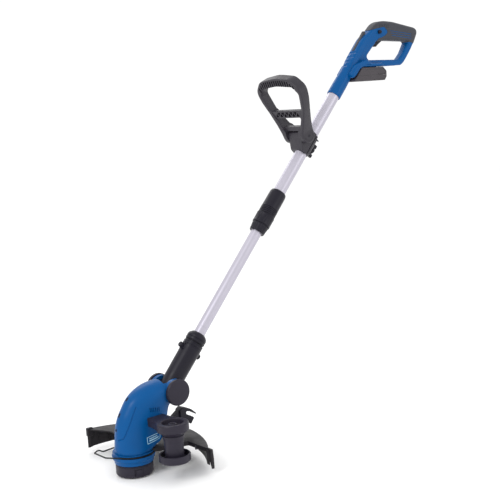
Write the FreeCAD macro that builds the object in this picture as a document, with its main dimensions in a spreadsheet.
"""Cordless lawn edger: trimmer head, edging wheel, telescopic shaft, two handles and a battery.

The document is parametric: the sheet "Sizes" drives every sketch and primitive, in millimetres.
Frame: origin at the middle of the spool cap's underside, +Z up along the spool axis,
+X towards the operator (the shaft leans that way) and +Y to the right hand of the machine.
"""
import FreeCAD, Part
import math
import os

import Sketcher

Vector = FreeCAD.Vector

SIZES = {
    # Shaft line: it leans back from the tilt pivot.
    "shaft_lean": 48.6,
    "pivot_x": 88.6,
    "pivot_z": 145.6,
    # Fits
    "running_gap": 0.06,
    "loose_gap": 0.35,
    "wall": 2.5,
    # Spool head
    "cap_radius": 36,
    "cap_height": 24,
    "spindle_radius": 2.5,
    "spool_radius": 30.5,
    # Lower housing ring with the seat of the plant guard wire
    "ring_radius": 41.6,
    "ring_bottom": 24.6,
    "ring_top": 45.6,
    "seat_radius": 38.6,
    "seat_bottom": 40.2,
    "seat_top": 44.2,
    "wire_radius": 1.4,
    "wire_ring_radius": 40.3,
    # Motor
    "motor_radius": 18,
    "motor_bottom": 52,
    "motor_top": 104,
    # Head housing
    "head_half_width": 31,
    "head_base": 49,
    "ear_radius": 24,
    "cheek_inside": 20,
    "disc_radius": 26,
    "disc_face": 40.3,
    "tilt_bolt_radius": 4,
    # Guard
    "guard_bottom": 46,
    "guard_top": 48.6,
    "guard_far_reach": 178,
    "guard_near_curve": 250,
    "guard_far_curve": 170,
    "guard_skin": 3,
    "guard_skirt_bottom": 16,
    # Edging wheel
    "wheel_x": 33,
    "wheel_y": -93,
    "wheel_bottom": 37,
    "wheel_radius": 30,
    "bracket_bottom": 89,
    "bracket_top": 113,
    "bracket_radius": 30.7,
    "axle_radius": 4,
    # Tilt pedal
    "pedal_pin_x": 86,
    "pedal_pin_z": 82,
    # Neck and tubes, measured along the shaft from the tilt pivot
    "neck_start": 18,
    "neck_end": 104,
    "neck_radius": 20,
    "neck_top_radius": 20.6,
    "swivel_button_place": 87,
    "collar_start": 106,
    "collar_end": 125.6,
    "collar_radius": 20.4,
    "lower_tube_radius": 11.5,
    "upper_tube_radius": 13,
    "tube_wall": 1.2,
    "lower_tube_start": 32,
    "lower_tube_end": 590,
    "upper_tube_start": 414,
    "upper_tube_end": 762,
    # Telescope clamp
    "clamp_start": 370,
    "nut_start": 388.2,
    "nut_end": 412.2,
    "nut_radius": 19.4,
    "nut_bore": 16.4,
    "sleeve_end": 470,
    "sleeve_radius": 18.1,
    # Auxiliary handle
    "saddle_start": 568,
    "saddle_end": 620,
    "saddle_half_width": 19.6,
    "aux_place": 598,
    "aux_height": 27,
    "aux_lean": 25.5,
    "aux_ear_face": 32,
    "saddle_under": 17,
    "aux_band_half": 12,
    "aux_leg_half": 20,
    "knob_place": 594,
    # Rear handle
    "handle_start": 724.5,
    "handle_half_width": 15.4,
    "trigger_half_width": 5.4,
    "skin": 1.5,
    "bar_bottom": 747,
    # Battery
    "battery_bottom": 717,
    "battery_half_width": 26,
    "battery_end": 709,
}


class Size:
    """A number together with the sheet expression that it comes from."""

    def __init__(self, text, value):
        self.text = text
        self.value = value

    def combine(self, sign, other, flipped=False):
        left, right = (as_size(other), self) if flipped else (self, as_size(other))
        results = {
            "+": lambda a, b: a + b,
            "-": lambda a, b: a - b,
            "*": lambda a, b: a * b,
            "/": lambda a, b: a / b,
        }
        return Size(f"({left.text} {sign} {right.text})", results[sign](left.value, right.value))

    def __add__(self, other):
        return self.combine("+", other)

    def __radd__(self, other):
        return self.combine("+", other, flipped=True)

    def __sub__(self, other):
        return self.combine("-", other)

    def __rsub__(self, other):
        return self.combine("-", other, flipped=True)

    def __mul__(self, other):
        return self.combine("*", other)

    def __rmul__(self, other):
        return self.combine("*", other, flipped=True)

    def __neg__(self):
        return self.combine("*", -1)

    def __truediv__(self, other):
        return self.combine("/", other)


def as_size(value):
    return value if isinstance(value, Size) else Size(f"({value})", value)


def plain(value):
    return as_size(value).value


class Sheet:
    """Gives each sheet cell as a Size, by its alias."""

    def __getattr__(self, alias):
        return Size("Sizes." + alias, SIZES[alias])


dim = Sheet()
document = FreeCAD.newDocument("LawnEdger")
sub_parts = []


def fill_sheet():
    sheet = document.addObject("Spreadsheet::Sheet", "Sizes")
    for row, (alias, value) in enumerate(SIZES.items(), start=1):
        sheet.set(f"A{row}", alias)
        sheet.set(f"B{row}", str(value))
        sheet.setAlias(f"B{row}", alias)
    document.recompute()


def bind(feature, name, value):
    """Drives a feature's property from the sheet where the value comes from there."""
    if isinstance(value, Size):
        feature.setExpression(name, value.text)
    else:
        setattr(feature, name, value)


# ---------------------------------------------------------------- places

LEAN_COS = Size("cos(Sizes.shaft_lean * 1 deg)", math.cos(math.radians(SIZES["shaft_lean"])))
LEAN_SIN = Size("sin(Sizes.shaft_lean * 1 deg)", math.sin(math.radians(SIZES["shaft_lean"])))

# Pieces on the shaft are drawn about their own Z and swung onto the shaft line.
# Their +X then points to the underside of the shaft and their -X to its upper side.
SHAFT = FreeCAD.Placement(
    Vector(SIZES["pivot_x"], 0, SIZES["pivot_z"]),
    FreeCAD.Rotation(Vector(0, 1, 0), 90 - SIZES["shaft_lean"]),
)
TURN_TO_Y = FreeCAD.Rotation(Vector(1, 0, 0), -90)
TURN_TO_X = FreeCAD.Rotation(Vector(0, 1, 0), 90)


def beside_shaft(along, above):
    """World X and Z of a place given along the shaft and square above its axis."""
    x = dim.pivot_x + along * LEAN_COS - above * LEAN_SIN
    z = dim.pivot_z + along * LEAN_SIN + above * LEAN_COS
    return x, z


# ---------------------------------------------------------------- features

def sketch(name, outline, upright):
    """A closed outline. A third number on a point is the radius of the arc to the next point:
    positive bulges to the right of the way of travel. An upright sketch lies in the XZ plane."""
    drawing = document.addObject("Sketcher::SketchObject", name)
    places = [Vector(plain(point[0]), plain(point[1]), 0) for point in outline]
    ends = []
    for index, point in enumerate(outline):
        start, stop = places[index], places[(index + 1) % len(places)]
        if len(point) == 3:
            ends.append(add_arc(drawing, start, stop, plain(point[2])))
        else:
            ends.append((drawing.addGeometry(Part.LineSegment(start, stop), False), 1, 2))
    for index, point in enumerate(outline):
        edge, first, last = ends[index]
        following = ends[(index + 1) % len(ends)]
        drawing.addConstraint(Sketcher.Constraint("Coincident", edge, last, following[0], following[1]))
        for kind, value in (("DistanceX", point[0]), ("DistanceY", point[1])):
            number = drawing.addConstraint(Sketcher.Constraint(kind, -1, 1, edge, first, plain(value)))
            drawing.setExpression(f"Constraints[{number}]", as_size(value).text)
        if len(point) == 3:
            radius = abs(plain(point[2]))
            number = drawing.addConstraint(Sketcher.Constraint("Radius", edge, radius))
            drawing.setExpression(f"Constraints[{number}]", f"abs({as_size(point[2]).text})")
    if upright:
        drawing.Placement = FreeCAD.Placement(Vector(), FreeCAD.Rotation(Vector(1, 0, 0), 90))
    return drawing


def add_arc(drawing, start, stop, radius):
    """Adds the arc and returns its number and which of its ends come first and last."""
    chord = stop - start
    normal = Vector(-chord.y, chord.x, 0).normalize()
    reach = math.sqrt(radius * radius - chord.Length ** 2 / 4)
    forward = radius > 0
    centre = (start + stop) * 0.5 + normal * (reach if forward else -reach)
    low, high = (start, stop) if forward else (stop, start)
    low_angle = math.atan2(low.y - centre.y, low.x - centre.x)
    high_angle = math.atan2(high.y - centre.y, high.x - centre.x)
    if high_angle <= low_angle:
        high_angle += 2 * math.pi
    circle = Part.Circle(centre, Vector(0, 0, 1), abs(radius))
    number = drawing.addGeometry(Part.ArcOfCircle(circle, low_angle, high_angle), False)
    return (number, 1, 2) if forward else (number, 2, 1)


def widened(name, drawing, distance):
    """The outline of a sketch moved outwards by a distance, or inwards by a negative one."""
    face = document.addObject("Part::Face", name + "_face")
    face.Sources = [drawing]
    outline = document.addObject("Part::Offset2D", name)
    outline.Source = face
    bind(outline, "Value", distance)
    outline.Join = 2
    return outline


def prism(name, drawing, half_width):
    """An upright sketch given width to both sides of the XZ plane."""
    solid = document.addObject("Part::Extrusion", name)
    solid.Base = drawing
    solid.DirMode = "Custom"
    solid.Dir = Vector(0, 1, 0)
    solid.Solid = True
    solid.Symmetric = True
    bind(solid, "LengthFwd", half_width * 2)
    return solid


def profile(name, outline, half_width):
    return prism(name, sketch(name + "_sketch", outline, upright=True), half_width)


def slab(name, outline, low, high):
    """A flat outline in plan, from one height to another."""
    drawing = sketch(name + "_sketch", outline, upright=False)
    solid = document.addObject("Part::Extrusion", name)
    solid.Base = drawing
    solid.DirMode = "Custom"
    solid.Dir = Vector(0, 0, 1)
    solid.Solid = True
    bind(solid, "LengthFwd", high - low)
    solid.setExpression("Placement.Base.z", as_size(low).text)
    return solid


def lathe(name, outline):
    """A solid of revolution about Z, from an outline of radius and height."""
    solid = document.addObject("Part::Revolution", name)
    solid.Source = sketch(name + "_sketch", outline, upright=True)
    solid.Axis = Vector(0, 0, 1)
    solid.Base = Vector(0, 0, 0)
    solid.Angle = 360
    solid.Solid = True
    return solid


def ring(name, inner, outer, low, high):
    return lathe(name, [(inner, low), (outer, low), (outer, high), (inner, high)])


def rod(name, radius, low, high, place=(0, 0)):
    """A round bar along Z at a place in plan."""
    solid = document.addObject("Part::Cylinder", name)
    bind(solid, "Radius", radius)
    bind(solid, "Height", high - low)
    for axis, value in (("x", place[0]), ("y", place[1]), ("z", low)):
        solid.setExpression("Placement.Base." + axis, as_size(value).text)
    return solid


def cross_rod(name, radius, low, high, place):
    """A round bar along Y, at a place in X and Z."""
    solid = document.addObject("Part::Cylinder", name)
    solid.Placement = FreeCAD.Placement(Vector(), TURN_TO_Y)
    bind(solid, "Radius", radius)
    bind(solid, "Height", high - low)
    for axis, value in (("x", place[0]), ("y", low), ("z", place[1])):
        solid.setExpression("Placement.Base." + axis, as_size(value).text)
    return solid


def long_rod(name, radius, low, high, place):
    """A round bar along X, at a place in Y and Z."""
    solid = document.addObject("Part::Cylinder", name)
    solid.Placement = FreeCAD.Placement(Vector(), TURN_TO_X)
    bind(solid, "Radius", radius)
    bind(solid, "Height", high - low)
    for axis, value in (("x", low), ("y", place[0]), ("z", place[1])):
        solid.setExpression("Placement.Base." + axis, as_size(value).text)
    return solid


def block(name, x_span, y_span, z_span):
    solid = document.addObject("Part::Box", name)
    spans = (("Length", "x", x_span), ("Width", "y", y_span), ("Height", "z", z_span))
    for side, axis, (low, high) in spans:
        bind(solid, side, as_size(high) - low)
        solid.setExpression("Placement.Base." + axis, as_size(low).text)
    return solid


def cut(name, base, *tools):
    """The base without the tools, one cut for each."""
    for index, tool in enumerate(tools):
        solid = document.addObject("Part::Cut", f"{name}_{index}")
        solid.Base = base
        solid.Tool = tool
        base = solid
    return base


def fuse(name, *shapes):
    solid = document.addObject("Part::MultiFuse", name)
    solid.Shapes = list(shapes)
    solid.Refine = True
    return solid


def group(name, *shapes):
    """Several separate solids under one name."""
    solids = document.addObject("Part::Compound", name)
    solids.Links = list(shapes)
    return solids


def common(name, *shapes):
    solid = document.addObject("Part::MultiCommon", name)
    solid.Shapes = list(shapes)
    return solid


def sub_part(label, feature, placement=None):
    """Names a finished piece and puts it in its place."""
    if placement is not None:
        feature.Placement = placement
    feature.Label = label
    sub_parts.append(feature)
    return feature


def halves(feature):
    """The same solid on the -Y (left) and on the +Y (right) side of the middle plane."""
    length, width = (-400, 1000), 400
    left_side = block("left_side", length, (-width, 0), length)
    right_side = block("right_side", length, (0, width), length)
    name = feature.Name
    return common(name + "_left", feature, left_side), common(name + "_right", feature, right_side)


# ---------------------------------------------------------------- spool head

def make_spool_head():
    floor = dim.wall
    spindle = dim.spindle_radius
    outer = dim.cap_radius
    housing = lathe("housing_cup", [
        (spindle, 20.5), (outer - dim.wall, 20.5), (outer - dim.wall, 5), (outer, 5),
        (outer, 21), (outer - 3, dim.cap_height), (9, dim.cap_height), (9, 34), (spindle, 34),
    ])
    eyelet_height = 13
    holes = long_rod("eyelet_holes", 3, -dim.cap_radius - 1, dim.cap_radius + 1, (0, eyelet_height))
    sub_part("spool_housing", cut("spool_housing", housing, holes))

    shank = long_rod("eyelet_shank", 3, -dim.cap_radius, dim.cap_radius, (0, eyelet_height))
    line_way = long_rod("eyelet_way", 1.6, -dim.cap_radius - 1, dim.cap_radius + 1, (0, eyelet_height))
    middle = rod("eyelet_middle", dim.cap_radius - dim.wall, 0, dim.cap_height)
    sub_part("line_eyelets", cut("line_eyelets", shank, line_way, middle))

    sub_part("spool_cap", lathe("spool_cap", [
        (0, 0), (outer - 4, 0), (outer, 3), (outer, 5), (outer - dim.wall - 0.2, 5),
        (outer - dim.wall - 0.2, 7), (outer - 5, 7), (outer - 5, floor), (0, floor),
    ]))
    flange = dim.spool_radius
    sub_part("spool", lathe("spool", [
        (4.5, 7.4), (flange, 7.4), (flange, 8.8), (15, 8.8), (15, 17.4),
        (flange, 17.4), (flange, 18.8), (4.5, 18.8),
    ]))
    sub_part("line_winding", ring("line_winding", 15, 27.5, 8.8, 17.4))
    sub_part("spool_spring", spring("spool_spring", 9.5, 0.5, 2.6, 7.2, 2))


def spring(name, radius, wire, low, high, turns):
    """A round-wire compression spring about Z, whose ends stand clear of what they press on."""
    helix = Part.makeHelix((high - low - 2 * wire) / turns, high - low - 2 * wire, radius)
    section = Part.Wire([Part.Circle(Vector(radius, 0, 0), Vector(0, 1, 0), wire).toShape()])
    feature = document.addObject("Part::Feature", name)
    feature.Shape = Part.Wire(helix.Edges).makePipeShell([section], True, True)
    feature.Placement = FreeCAD.Placement(Vector(0, 0, low + wire), FreeCAD.Rotation())
    return feature


def make_motor():
    gap = dim.running_gap
    shaft = dim.spindle_radius
    outer = dim.motor_radius
    shell = 1.5
    sub_part("motor_can", lathe("motor_can", [
        (shaft + gap, dim.motor_bottom), (outer, dim.motor_bottom), (outer, dim.motor_top),
        (shaft + gap, dim.motor_top), (shaft + gap, dim.motor_top - 3), (outer - shell, dim.motor_top - 3),
        (outer - shell, dim.motor_bottom + 3), (shaft + gap, dim.motor_bottom + 3),
    ]))
    sub_part("motor_shaft", rod("motor_shaft", shaft, 20.5, dim.motor_top + 4))
    sub_part("motor_rotor", ring("motor_rotor", shaft, outer - 4, dim.motor_bottom + 8, dim.motor_top - 8))


def make_lower_housing():
    """Ring under the head housing: it shrouds the spindle and carries the wire's seat."""
    outer = dim.ring_radius
    sub_part("lower_housing", lathe("lower_housing", [
        (11, dim.ring_top - 3), (outer - 6, dim.ring_top - 3), (outer - 6, dim.ring_bottom),
        (outer - 1, dim.ring_bottom), (outer, dim.ring_bottom + 2), (outer, dim.seat_bottom),
        (dim.seat_radius, dim.seat_bottom), (dim.seat_radius, dim.seat_top), (outer - 1.5, dim.seat_top),
        (outer - 1.5, dim.ring_top), (11, dim.ring_top),
    ]))


# ---------------------------------------------------------------- head housing

def head_outline():
    """Side view of the head: round front, ears about the tilt pivot, short rear wall."""
    pivot_x, pivot_z = dim.pivot_x, dim.pivot_z
    ear = dim.ear_radius
    front = -dim.cap_radius
    return [
        (front, dim.head_base), (58, dim.head_base), (68, 94), (72, 112), (pivot_x - 8, pivot_z - ear + 3),
        (pivot_x, pivot_z - ear, ear), (pivot_x + ear, pivot_z, ear), (pivot_x, pivot_z + ear),
        (48, 168), (20, 162.5, 75), (-18, 127, 130), (-34.5, 84),
    ]


def head_solid(name, inset):
    """The head's outside, or with an inset its cavity: side view and round-nosed plan together."""
    half = dim.head_half_width - inset
    side_view = sketch(name + "_side_view", head_outline(), upright=True)
    if plain(inset):
        side_view = widened(name + "_inset_view", side_view, -inset)
    straight = -math.sqrt(plain(dim.cap_radius) ** 2 - plain(dim.head_half_width) ** 2)
    plan = slab(name + "_plan", [
        (straight, -half), (140, -half), (140, half), (straight, half, dim.cap_radius - inset),
    ], 0, 220)
    return common(name, prism(name + "_side", side_view, half), plan)


def make_head_shells():
    outside = head_solid("head_outside", 0)
    inside = head_solid("head_inside", dim.wall)
    cheek = dim.cheek_inside
    # The cavity stops in front of the ears; the neck swings in the open slot between them.
    front_room = block("head_front_room", (-50, 58), (-40, 40), (0, 200))
    cavity = common("head_room", inside, front_room)
    slot = block("neck_slot", (66, 140), (-cheek, cheek), (123, 200))
    entry = block("spindle_entry", (-20, 20), (-20, 20), (40, 60))
    bolt_hole = cross_rod("ear_bolt_hole", dim.tilt_bolt_radius, -50, 50, (dim.pivot_x, dim.pivot_z))
    shell = cut("head_shell", outside, cavity, slot, entry, bolt_hole, *head_screw_holes())
    left, right = halves(shell)
    sub_part("head_shell_left", left)
    sub_part("head_shell_right", right)


HEAD_SCREWS = ((28, 64), (4, 136), (51, 90), (50, 142))


def head_screw_holes():
    half = dim.head_half_width
    holes = []
    for number, place in enumerate(HEAD_SCREWS):
        holes.append(cross_rod(f"head_hole_{number}", 2, 4 - half, half, place))
        holes.append(cross_rod(f"head_recess_{number}", 4, half - 4, half + 1, place))
    return holes


def make_head_screws():
    half = dim.head_half_width
    pieces = []
    for number, place in enumerate(HEAD_SCREWS):
        shank = cross_rod(f"head_shank_{number}", 2, 4 - half, half - 4, place)
        head = cross_rod(f"head_screw_head_{number}", 3.6, half - 4, half - 1, place)
        pieces.append(fuse(f"head_screw_{number}", shank, head))
    sub_part("head_screws", group("head_screws", *pieces))


def make_tilt_pivot():
    place = (dim.pivot_x, dim.pivot_z)
    seat = dim.head_half_width
    sub_part("tilt_bolt", cross_rod("tilt_bolt", dim.tilt_bolt_radius, -seat - 3, seat + 3, place))
    radius, face = dim.disc_radius, dim.disc_face
    for name, turn in (("pivot_cap_left", 90), ("pivot_cap_right", -90)):
        cap = lathe(name, [
            (dim.tilt_bolt_radius, seat), (radius, seat), (radius, face - 3.5), (radius - 3, face - 0.8),
            (0, face), (0, seat + 3), (dim.tilt_bolt_radius, seat + 3),
        ])
        about = FreeCAD.Rotation(Vector(1, 0, 0), turn)
        sub_part(name, cap, FreeCAD.Placement(Vector(SIZES["pivot_x"], 0, SIZES["pivot_z"]), about))


def make_pedal():
    pin = (dim.pedal_pin_x, dim.pedal_pin_z)
    x, z = pin
    ears = cut(
        "pedal_bracket",
        profile("pedal_bracket_block", [(60, 72), (x + 6, z - 7), (x + 6, z + 7), (64, 98)], 11),
        block("pedal_bracket_slot", (x - 9, x + 20), (-6, 6), (z - 20, z + 20)),
        cross_rod("pedal_bracket_hole", 2.5, -20, 20, pin),
        profile("pedal_bracket_head_room", head_outline(), dim.head_half_width),
    )
    sub_part("pedal_bracket", ears)
    sub_part("pedal_pin", cross_rod("pedal_pin", 2.5, -12.5, 12.5, pin))

    tongue = fuse(
        "pedal_tongue",
        profile("pedal_arm", [(x, z - 5), (106, 82), (118, 82), (118, 102), (106, 100), (x, z + 5)], 5.4),
        cross_rod("pedal_eye", 5, -5.4, 5.4, pin),
    )
    prongs = profile("pedal_prongs", [
        (110, 83), (119, 80), (131, 65.5), (140.5, 77.5), (122, 86.5), (120, 95),
        (145, 83), (145.6, 85.2, 60), (114, 104), (110, 100),
    ], 9)
    hole = cross_rod("pedal_eye_hole", 2.5 + dim.running_gap, -20, 20, pin)
    sub_part("tilt_pedal", cut("tilt_pedal", fuse("pedal_body", tongue, prongs), hole))


# ---------------------------------------------------------------- guard

def guard_outline(inset):
    """Plan of the guard: a fan behind the spool that runs out to both sides."""
    near_curve, far_curve = dim.guard_near_curve, dim.guard_far_curve
    reach = dim.guard_far_reach - inset
    return [
        (10, -26), (95 - inset, -48), (97 - inset, -114 + inset), (102 - inset, -104 + inset, near_curve),
        (141 - inset, 2, far_curve), (80 - inset / 2, 146 - inset, far_curve), (9, reach - 1),
        (-2 + inset, reach), (26 + inset, 124), (12 + inset, 46), (10, 26),
    ]


def make_guard():
    plate = slab("guard_plate", guard_outline(0), dim.guard_bottom, dim.guard_top)
    outer = slab("guard_wall_outside", guard_outline(0), dim.guard_skirt_bottom, dim.guard_bottom + 1)
    inner = slab("guard_wall_inside", guard_outline(dim.guard_skin), 0, 60)
    open_front = slab("guard_open_front", [
        (-20, -60), (94, -43), (96, -120), (120, -150), (-60, -150), (-60, 200),
        (-1.5, 200), (-1.5, 170), (34, 124), (60, 60), (60, 0), (70, -39), (-20, -52),
    ], 0, dim.guard_bottom)
    skirt = cut("guard_skirt", outer, inner, open_front)
    tip = slab("guard_tip", [(96, -104), (98, -119), (104, -117), (103, -101)], 10, dim.guard_bottom + 1)
    far_lug = slab("guard_far_lug", [(-3, 178.4), (-2, 173.5), (9, 173), (9, 177.6)], 9, dim.guard_top)
    body = fuse("guard_body", plate, skirt, tip, far_lug)
    spindle_room = rod("guard_spindle_room", 22, 0, 60)
    holes = [rod(f"guard_hole_{side}", 2, 0, 60, (46, 14 * side)) for side in (-1, 1)]
    sub_part("guard", cut("guard", body, spindle_room, *holes))

    screws = []
    for side in (-1, 1):
        place = (46, 14 * side)
        shank = rod(f"guard_shank_{side}", 2, dim.guard_bottom, dim.guard_top + 0.4, place)
        head = rod(f"guard_screw_head_{side}", 4, dim.guard_bottom - 2, dim.guard_bottom, place)
        screws.append(fuse(f"guard_screw_{side}", shank, head))
    sub_part("guard_screws", group("guard_screws", *screws))

    blade = slab("line_cutter_blade", [(93.4, -72), (106.4, -82.1), (107.3, -80.9), (94.3, -70.8)],
                 dim.guard_bottom - 22, dim.guard_bottom)
    sub_part("line_cutter", group("line_cutter", blade))


# ---------------------------------------------------------------- plant guard wire

def make_wire_guard():
    """Bent wire that rides in the ring's seat: two arms round the ring and a nose in front."""
    centre_height = (dim.seat_bottom + dim.seat_top) / 2
    radius = plain(dim.wire_ring_radius)
    near_exit, far_exit = 215, 70
    near_end, far_end = 330, 25
    lead = 40

    def on_ring(angle):
        return Vector(radius * math.cos(math.radians(angle)), radius * math.sin(math.radians(angle)), 0)

    def heading(angle):
        return Vector(math.sin(math.radians(angle)), -math.cos(math.radians(angle)), 0)

    nose = [
        on_ring(near_exit),
        on_ring(near_exit) + heading(near_exit) * lead,
        Vector(-57, 50, 0),
        Vector(-42, 61, 0),
        Vector(-41, 45, 0),
        on_ring(far_exit) - heading(far_exit) * (lead - 8),
        on_ring(far_exit),
    ]
    edges = [ring_arc(on_ring, near_end, near_exit)]
    edges += bent_path(nose, 3.5)
    edges.append(ring_arc(on_ring, far_exit, far_end))
    path = Part.Wire(Part.sortEdges(edges)[0])
    section = Part.Circle(on_ring(near_end), heading(near_end), plain(dim.wire_radius))
    wire = document.addObject("Part::Feature", "flower_guard")
    wire.Shape = path.makePipeShell([Part.Wire([section.toShape()])], True, False)
    place = FreeCAD.Placement(Vector(0, 0, plain(centre_height)), FreeCAD.Rotation())
    sub_part("flower_guard", wire, place)


def ring_arc(on_ring, start, stop):
    return Part.Arc(on_ring(start), on_ring((start + stop) / 2), on_ring(stop)).toShape()


def bent_path(points, bend):
    """Straight runs through the points, joined by arcs of the bend radius."""
    edges = []
    start = points[0]
    for before, corner, after in zip(points, points[1:], points[2:]):
        inward = (before - corner).normalize()
        outward = (after - corner).normalize()
        half_turn = (math.pi - inward.getAngle(outward)) / 2
        back = bend * math.tan(half_turn)
        into, out_of = corner + inward * back, corner + outward * back
        middle = (inward + outward).normalize()
        top = corner + middle * (bend / math.cos(half_turn) - bend)
        edges.append(Part.LineSegment(start, into).toShape())
        edges.append(Part.Arc(into, top, out_of).toShape())
        start = out_of
    edges.append(Part.LineSegment(start, points[-1]).toShape())
    return edges


# ---------------------------------------------------------------- edging wheel

def make_wheel():
    place = (dim.wheel_x, dim.wheel_y)
    at_wheel = FreeCAD.Placement(Vector(SIZES["wheel_x"], SIZES["wheel_y"], 0), FreeCAD.Rotation())
    base, rim = dim.wheel_bottom, dim.wheel_radius
    bore = dim.axle_radius + dim.running_gap
    top = dim.bracket_bottom - dim.loose_gap
    sub_part("edge_wheel", lathe("edge_wheel", [
        (bore, base + 4.5), (9, base + 4.5), (9, base), (rim - 2, base), (rim, base + 2), (rim, base + 15),
        (rim - 3, base + 15), (rim - 3, base + 3), (17, base + 3), (18, top - 5), (20, top), (bore, top),
    ]), at_wheel)

    collar, foot = dim.bracket_radius, dim.bracket_bottom
    arm = slab("bracket_arm", [(20, -28), (53, -28), (dim.wheel_x + 26, -84), (dim.wheel_x - 26, -84)],
               foot + 5, dim.bracket_top - 4)
    cup = lathe("bracket_cup", [
        (0, foot), (20, foot), (collar, foot + 8), (collar, dim.bracket_top - 1),
        (collar - 1, dim.bracket_top), (0, dim.bracket_top),
    ])
    cup.Placement = at_wheel
    body = fuse("bracket_body", arm, group("bracket_cup_placed", cup))
    recess = cut(
        "bracket_recess",
        rod("bracket_hollow", 20.7, dim.bracket_top - 10, dim.bracket_top + 1, place),
        rod("bracket_boss", 8.5, dim.bracket_top - 10, dim.bracket_top - 3, place),
    )
    axle_hole = rod("bracket_axle_hole", dim.axle_radius, dim.bracket_bottom - 1, dim.bracket_top - 6, place)
    head_room = profile("bracket_head_room", head_outline(), dim.head_half_width)
    sub_part("wheel_bracket", cut("wheel_bracket", body, recess, axle_hole, head_room))

    sub_part("wheel_axle", rod("wheel_axle", dim.axle_radius, base + 3.8, dim.bracket_top - 6, place))
    sub_part("wheel_screw", rod("wheel_screw", 7.5, base + 0.6, base + 3.8, place))


# ---------------------------------------------------------------- neck and lower shaft

def make_neck():
    bore = dim.lower_tube_radius + dim.running_gap
    sleeve = lathe("neck_tube", [
        (0, 4), (dim.neck_radius - 1.5, 4), (dim.neck_radius, dim.neck_start + 4),
        (dim.neck_top_radius, dim.neck_end - 2), (dim.neck_top_radius - 1.5, dim.neck_end),
        (bore, dim.neck_end), (bore, 64), (14.6, 64), (14.6, 57), (bore, 57), (bore, 30), (0, 30),
    ])
    barrel = cross_rod("neck_barrel", 17, 0.4 - dim.cheek_inside, dim.cheek_inside - 0.4, (0, 0))
    slim = block("neck_side_room", (-40, 40), (-dim.cheek_inside + 0.4, dim.cheek_inside - 0.4), (0, 30))
    above = block("neck_above", (-40, 40), (-40, 40), (30, 110))
    foot = common("neck_foot", sleeve, fuse("neck_inside", slim, above))
    bolt_hole = cross_rod("neck_bolt_hole", dim.tilt_bolt_radius + dim.running_gap, -30, 30, (0, 0))
    button_hole = long_rod("neck_button_hole", 5.5 + dim.running_gap, -30, 30, (0, dim.swivel_button_place))
    keep = rod("neck_button_core", bore, 40, 104)
    holes = cut("neck_button_holes", button_hole, keep)
    neck = cut("neck_sleeve", fuse("neck_body", foot, barrel), bolt_hole, holes)
    sub_part("neck_sleeve", neck, SHAFT)

    for name, low, high in (("swivel_button_front", -28.8, -15.4), ("swivel_button_rear", 15.4, 27.6)):
        button = long_rod(name + "_rod", 5.5, low, high, (0, dim.swivel_button_place))
        sub_part(name, group(name, button), SHAFT)


def make_lower_shaft():
    outer = dim.lower_tube_radius
    inner = outer - dim.tube_wall
    tube = ring("lower_tube", inner, outer, dim.lower_tube_start, dim.lower_tube_end)
    sub_part("lower_tube", tube, SHAFT)
    plug_radius = dim.upper_tube_radius - dim.tube_wall - dim.running_gap
    sub_part("guide_plug", lathe("guide_plug", [
        (5, dim.lower_tube_end - 14), (inner, dim.lower_tube_end - 14), (inner, dim.lower_tube_end),
        (plug_radius, dim.lower_tube_end), (plug_radius, dim.lower_tube_end + 10),
        (5, dim.lower_tube_end + 10),
    ]), SHAFT)
    wide = dim.collar_radius
    sub_part("tube_collar", lathe("tube_collar", [
        (outer, dim.collar_start), (wide - 1, dim.collar_start), (wide, dim.collar_start + 1),
        (wide, dim.collar_end - 8), (wide - 1.5, dim.collar_end - 4, 6), (wide - 5.5, dim.collar_end),
        (outer, dim.collar_end),
    ]), SHAFT)
    washer = ring("thrust_washer", outer, 17, dim.neck_end + dim.running_gap, dim.collar_start)
    sub_part("thrust_washer", washer, SHAFT)
    sub_part("retaining_ring", ring("retaining_ring", outer, 14.2, 58, 61.5), SHAFT)


# ---------------------------------------------------------------- telescope clamp and upper tube

def make_clamp():
    slide_bore = dim.lower_tube_radius + dim.loose_gap
    end = dim.sleeve_end
    sub_part("clamp_collar", lathe("clamp_collar", [
        (slide_bore, dim.clamp_start), (15.6, dim.clamp_start), (16.4, dim.clamp_start + 1),
        (17.8, dim.nut_start - 2), (17.8, dim.nut_start - 0.6), (slide_bore, dim.nut_start - 0.6),
    ]), SHAFT)
    sub_part("clamp_sleeve", lathe("clamp_sleeve", [
        (14.2, dim.nut_start - 0.6), (dim.nut_bore, dim.nut_start - 0.6), (dim.nut_bore, dim.nut_end + 0.6),
        (dim.sleeve_radius, dim.nut_end + 0.6), (dim.sleeve_radius, end - 4, 4), (dim.sleeve_radius - 3, end),
        (dim.upper_tube_radius, end), (dim.upper_tube_radius, dim.upper_tube_start),
        (14.2, dim.upper_tube_start),
    ]), SHAFT)
    collet = ring("collet_ring", slide_bore, 14.2, dim.nut_start, dim.upper_tube_start - 1)
    split = block("collet_split", (0, 30), (-1.5, 1.5), (300, 500))
    sub_part("clamp_collet", cut("clamp_collet", collet, split), SHAFT)
    nut = ring("nut_ring", dim.nut_bore + dim.running_gap, dim.nut_radius, dim.nut_start, dim.nut_end)
    flutes = []
    for number in range(12):
        angle = math.radians(30 * number)
        place = (dim.nut_radius * math.cos(angle), dim.nut_radius * math.sin(angle))
        flutes.append(rod(f"nut_flute_{number}", 1.4, dim.nut_start - 1, dim.nut_end + 1, place))
    sub_part("clamp_nut", cut("clamp_nut", nut, group("nut_flutes", *flutes)), SHAFT)
    tube = ring("upper_tube", dim.upper_tube_radius - dim.tube_wall, dim.upper_tube_radius,
                dim.upper_tube_start, dim.upper_tube_end)
    sub_part("upper_tube", tube, SHAFT)


# ---------------------------------------------------------------- auxiliary handle

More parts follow.
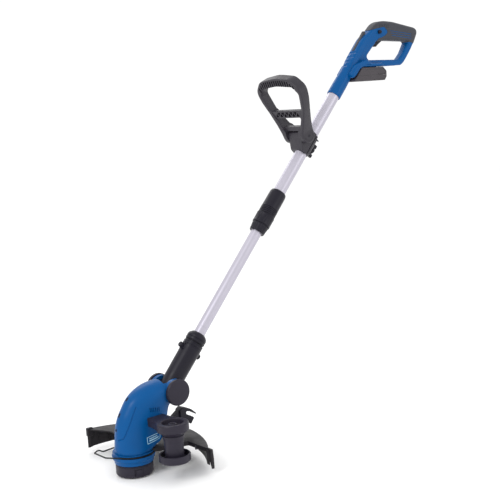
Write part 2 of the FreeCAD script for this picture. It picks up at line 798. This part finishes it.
def make_aux_clamp():
    """Two halves about the upper tube; the upper one carries the handle's pivot barrel."""
    start, end, half = dim.saddle_start, dim.saddle_end, dim.saddle_half_width
    above, under = -dim.aux_height, dim.saddle_under
    tube = rod("saddle_tube_room", dim.upper_tube_radius, 500, 700)
    upper_side = [
        (-0.2, start + 1), (-0.2, end), (-20, end), (above, dim.aux_place + 13),
        (above, dim.aux_place - 13), (-14, start + 2),
    ]
    upper = fuse(
        "saddle_upper",
        profile("saddle_upper_block", upper_side, half),
        cross_rod("saddle_barrel", 13, -half, half, (above, dim.aux_place)),
    )
    lower_side = [
        (0.2, start + 3), (13.5, start + 7), (under, start + 14), (under, end - 11),
        (14, end - 4), (0.2, end),
    ]
    lower = profile("saddle_lower_block", lower_side, half)
    bolt_room = cross_rod("saddle_bolt_hole", 3 + dim.running_gap, -40, 40, (above, dim.aux_place))
    stem_room = long_rod("saddle_stem_hole", 3 + dim.running_gap, 10, 30, (0, dim.knob_place))
    corners = [(side * (half - 3.4), place) for place in (start + 9, end - 8) for side in (-1, 1)]
    rooms = group("saddle_screw_rooms", *clamp_screws("saddle_screw_hole", corners))
    sub_part("aux_clamp_upper", cut("aux_clamp_upper", upper, tube, bolt_room, rooms), SHAFT)
    sub_part("aux_clamp_lower", cut("aux_clamp_lower", lower, tube, stem_room, rooms), SHAFT)
    sub_part("aux_clamp_screws", group("aux_clamp_screws", *clamp_screws("saddle_screw", corners)), SHAFT)


def clamp_screws(name, corners):
    return [long_rod(f"{name}_{number}", 1.5, -9, 12, corner) for number, corner in enumerate(corners)]


def make_aux_knob():
    """Wing screw under the clamp: its stem bears on the tube."""
    under = dim.saddle_under
    stem = long_rod("knob_stem", 3, dim.upper_tube_radius + 0.1, under + 4, (0, dim.knob_place))
    hub = long_rod("knob_hub", 7, under + 0.6, under + 10, (0, dim.knob_place))
    wings = block("knob_wings", (under + 2, under + 9), (-3, 3), (dim.knob_place - 16, dim.knob_place + 16))
    sub_part("aux_knob", fuse("aux_knob", stem, hub, wings), SHAFT)


def aux_loop():
    """The D-shaped band: its plan and its tapering side view together, without the grip gap."""
    face, deep = dim.aux_ear_face, dim.aux_leg_half
    band = dim.aux_band_half
    plan = slab("aux_plan", [
        (face, -16), (face + 1, 26), (57, 84), (66.5, 108, 26), (46, 130, 130), (-46, 130, 26),
        (-66.5, 108), (-57, 84), (-face - 1, 26), (-face, -16),
    ], -deep, deep)
    side = profile("aux_side", [
        (-17, -16), (12, 2 - deep), (50, -deep), (88, 2 - deep), (124, -band), (140, -band),
        (140, band), (124, band), (88, deep - 2), (50, deep), (12, deep - 2), (-17, 16),
    ], 80)
    stood = group("aux_side_across", side)
    stood.Placement = FreeCAD.Placement(Vector(), FreeCAD.Rotation(Vector(0, 0, 1), 90))
    grip_gap = slab("aux_grip_gap", [
        (-41.5, 60), (41.5, 60), (57, 100, 14), (44, 114, 130), (-44, 114, 14), (-57, 100),
    ], -30, 30)
    return cut("aux_frame", common("aux_band", plan, stood), grip_gap)


def make_aux_handle():
    """It is drawn with its width along X and its height along Y, then stood up."""
    face, band, cheek = dim.aux_ear_face, dim.aux_band_half, dim.saddle_half_width + 0.4
    low_gap = slab("aux_low_gap", [(-20.5, 30), (20.5, 30), (29, 45), (-29, 45)], -30, 30)
    # Between the legs there is only a thin web and a cross bar, at the lower face.
    between = [(-20.5, 15), (20.5, 15), (20.5, 30), (41.5, 60), (-41.5, 60), (-20.5, 30)]
    under_web = slab("aux_under_web", between, -30, -band)
    over_web = slab("aux_over_web", between, -1, 30)
    ear_gap = block("aux_ear_gap", (-cheek, cheek), (-17, 15), (-30, 30))
    legs_room = block("aux_legs_room", (-40, 40), (-17, 0), (-30, 30))
    frame = cut("aux_open_frame", aux_loop(), low_gap, under_web, over_web, ear_gap, legs_room)
    ears = [
        long_rod("aux_ear_left", 16, -face, -cheek, (0, 0)),
        long_rod("aux_ear_right", 16, cheek, face, (0, 0)),
    ]
    bolt_room = long_rod("aux_bolt_room", 3, -50, 50, (0, 0))
    loop = cut("aux_handle", fuse("aux_solid", frame, *ears), bolt_room)

    end = face + 0.6
    bolt = fuse(
        "aux_bolt",
        long_rod("aux_bolt_shank", 3, -end, end, (0, 0)),
        long_rod("aux_bolt_head", 6, -end - 3, -end, (0, 0)),
        long_rod("aux_bolt_nut", 5, end, end + 3, (0, 0)),
    )
    x, z = beside_shaft(dim.aux_place, dim.aux_height)
    lay_across = FreeCAD.Rotation(Vector(0, 1, 0), Vector(0, 0, 1), Vector(1, 0, 0), "ZXY")
    lean = FreeCAD.Rotation(Vector(0, 1, 0), SIZES["aux_lean"] - SIZES["shaft_lean"])
    place = FreeCAD.Placement(Vector(plain(x), 0, plain(z)), lean * lay_across)
    sub_part("aux_handle", loop, place)
    sub_part("aux_bolt", bolt, place)


# ---------------------------------------------------------------- rear handle

def handle_outline():
    """Side view of the rear handle: barrel, thumb rise, grip, riser and bottom bar."""
    bottom, round_half = dim.bar_bottom, dim.handle_half_width
    return [
        beside_shaft(dim.handle_start, -round_half),
        beside_shaft(751, -round_half),
        beside_shaft(767, -16.5),
        beside_shaft(771, -10),
        beside_shaft(811, -10),
        (771, bottom),
        (781, 753),
        (793, 764),
        (807, 781),
        (819, 798),
        (830, 819, 9),
        (821, 832),
        (749, 844),
        (723, 846),
        (709, 845),
        (697, 841),
        (679, 825),
        beside_shaft(882, 14),
        beside_shaft(780, 14),
        beside_shaft(760, round_half),
        beside_shaft(dim.handle_start, round_half),
    ]


WINDOW = ((663, 770), (671, 762.6), (766, 761), (781, 775), (798, 799), (791, 801.5),
          (717, 804.5), (697, 802), (683, 789))
COVER = ((652, 817), (666, 823), (691, 829), (719, 833), (731, 823), (726, 815), (726, 797),
         (791, 797), (840, 808), (840, 860), (652, 860))
HANDLE_SCREWS = ((596, 731), (655, 790), (735, 755.3), (800, 786), (718, 826))
BUTTON_PLACE = (703, 822.5)
TRIGGER_PIN = (718, 811)


def handle_solid(name, outline, window, inset):
    """The handle with its hand opening, all its faces moved inwards by the inset."""
    outside, opening = outline, window
    if plain(inset):
        outside = widened(name + "_outline", outline, -inset)
        opening = widened(name + "_window", window, inset)
    solid = prism(name + "_block", outside, dim.handle_half_width - inset)
    return cut(name, solid, prism(name + "_opening", opening, 60))


def handle_screws(name, head_depth):
    """Screws from the right side, or with a negative head depth the rooms that they sit in."""
    half = dim.handle_half_width
    screws = []
    for number, place in enumerate(HANDLE_SCREWS):
        shank = cross_rod(f"{name}_shank_{number}", 1.6, 4 - half, half - 4, place)
        head = cross_rod(f"{name}_head_{number}", 3.2, half - 4, half - head_depth, place)
        screws.append(fuse(f"{name}_{number}", shank, head))
    return group(name + "s", *screws)


def make_rear_handle():
    outline = sketch("handle_side_view", handle_outline(), upright=True)
    window = sketch("handle_window", WINDOW, upright=True)
    outside = handle_solid("handle_outside", outline, window, 0)
    under_skin = handle_solid("handle_under_skin", outline, window, dim.skin)
    inside = handle_solid("handle_inside", outline, window, dim.skin + dim.wall)

    skin = cut("grip_skin", outside, under_skin)
    cover = common("grip_cover", skin, profile("cover_area", COVER, 60))
    sub_part("grip_cover", cover)

    solid_bar = block("bar_room", (632, 840), (-60, 60), (740, 764))
    cavity = cut("handle_cavity", inside, solid_bar)
    cheeks = profile("battery_cheeks", [
        beside_shaft(771, -8), beside_shaft(771, 6), beside_shaft(803, 2), beside_shaft(811, -8),
    ], dim.battery_half_width)
    tube_place = group("handle_tube_place", rod("handle_tube_room", dim.upper_tube_radius, 700, 790))
    tube_place.Placement = SHAFT
    rail_slot = block("rail_slot", (620, 840), (-12.3, 12.3), (740, 751.4))
    trigger_slot = profile("trigger_slot", [
        (723, 800), (697, 785), (682, 786), (678, 802), (690, 815), (723, 818),
    ], dim.trigger_half_width + 0.3)
    button_hole = cross_rod("button_hole", 4 + dim.running_gap, -40, 0, BUTTON_PLACE)
    body = cut("handle_body", fuse("handle_full", outside, cheeks), cover, cavity, tube_place, rail_slot,
               trigger_slot, button_hole, handle_screws("handle_screw_room", -1))
    left, right = halves(body)
    sub_part("handle_shell_left", left)
    sub_part("handle_shell_right", right)
    sub_part("handle_screws", handle_screws("handle_screw", 1))
    sub_part("main_switch", block("main_switch", (686, 698), (-6, 6), (816, 825)))
    sub_part("terminal_block", block("terminal_block", (636, 650), (-10, 10), (766, 780)))


def make_controls():
    pin = TRIGGER_PIN
    half = dim.trigger_half_width
    blade = profile("trigger_blade", [
        (719, 803.6), (705, 795.5), (699.4, 791), (694.5, 791.6), (685, 800), (692, 808), (718, 813.5),
    ], half)
    eye = cross_rod("trigger_eye", 4.5, -half, half, pin)
    pin_half = dim.handle_half_width - dim.skin - dim.wall
    hole = cross_rod("trigger_hole", 1.5 + dim.running_gap, -20, 20, pin)
    sub_part("trigger", cut("trigger", fuse("trigger_body", blade, eye), hole))
    sub_part("trigger_pin", cross_rod("trigger_pin", 1.5, -pin_half, pin_half, pin))
    proud = dim.handle_half_width + 2.6
    sub_part("lock_off_button", cross_rod("lock_off_button", 4, -proud, -8, BUTTON_PLACE))


# ---------------------------------------------------------------- battery

def make_battery():
    """Slide-in pack: two case halves, the cells, and a latch button in its sloped rear end."""
    low, top, end = dim.battery_bottom, dim.bar_bottom - 0.5, dim.battery_end
    middle = low + 12
    half = dim.battery_half_width
    front_low = (608, low)
    front_top = (634.5, top)
    side = [front_low, (end - 6, low), (end, low + 8), (end, top - 9), (end - 10, top), front_top]
    whole = profile("battery_whole", side, half)
    room_side = [
        (614, low + 2), (end - 8, low + 2), (end - 3, low + 8), (end - 3, top - 10), (end - 11, top - 2),
        (636, top - 2),
    ]
    room = profile("battery_room", room_side, half - 2)
    below = block("battery_below", (500, 800), (-60, 60), (700, middle))
    above = block("battery_above", (500, 800), (-60, 60), (middle, 800))
    lower_half = common("battery_lower", whole, below)
    upper_half = common("battery_upper", whole, above)
    rail = block("battery_rail", (645, 690), (-12, 12), (top - 1, 751))
    button_room = block("latch_room", (end - 16.5, end + 3), (-9.4, 9.4), (top - 17, 760))
    closed_top = fuse("battery_top", upper_half, rail)
    sub_part("battery_case_lower", cut("battery_case_lower", lower_half, room))
    sub_part("battery_case_upper", cut("battery_case_upper", closed_top, room, button_room))
    cells = []
    for row, x in enumerate((638, 657, 676)):
        for side_name, y in (("left", (-23, -1)), ("right", (1, 23))):
            cells.append(cross_rod(f"cell_{row}_{side_name}", 9, y[0], y[1], (x, low + 12.5)))
    sub_part("battery_cells", group("battery_cells", *cells))
    button = profile("latch_button_shape", [
        (end - 13.5, top - 14), (end - 0.5, top - 14), (end - 0.5, top - 9.5), (end - 9.5, top - 0.6),
        (end - 13.5, top - 0.6),
    ], 9)
    sub_part("battery_latch_button", button)


# ---------------------------------------------------------------- check and write

def check_document():
    document.recompute()
    for feature in document.Objects:
        for word in ("Invalid", "Error"):
            if word in feature.State:
                raise RuntimeError(f"{feature.Label} failed: {feature.State}")
    for piece in sub_parts:
        if piece.Shape.isNull() or not piece.Shape.isValid() or not piece.Shape.Solids:
            raise RuntimeError(f"{piece.Label} has no valid solid")


def write_parts():
    os.makedirs("parts", exist_ok=True)
    for piece in sub_parts:
        piece.Shape.exportStep(f"parts/{piece.Label}.step")
        print(f"{piece.Label}: {len(piece.Shape.Solids)} solid(s), {piece.Shape.Volume / 1000:.1f} cm3")


def main():
    fill_sheet()
    make_spool_head()
    make_motor()
    make_lower_housing()
    make_head_shells()
    make_head_screws()
    make_tilt_pivot()
    make_pedal()
    make_guard()
    make_wire_guard()
    make_wheel()
    make_neck()
    make_lower_shaft()
    make_clamp()
    make_aux_clamp()
    make_aux_knob()
    make_aux_handle()
    make_rear_handle()
    make_controls()
    make_battery()
    check_document()
    write_parts()


main()
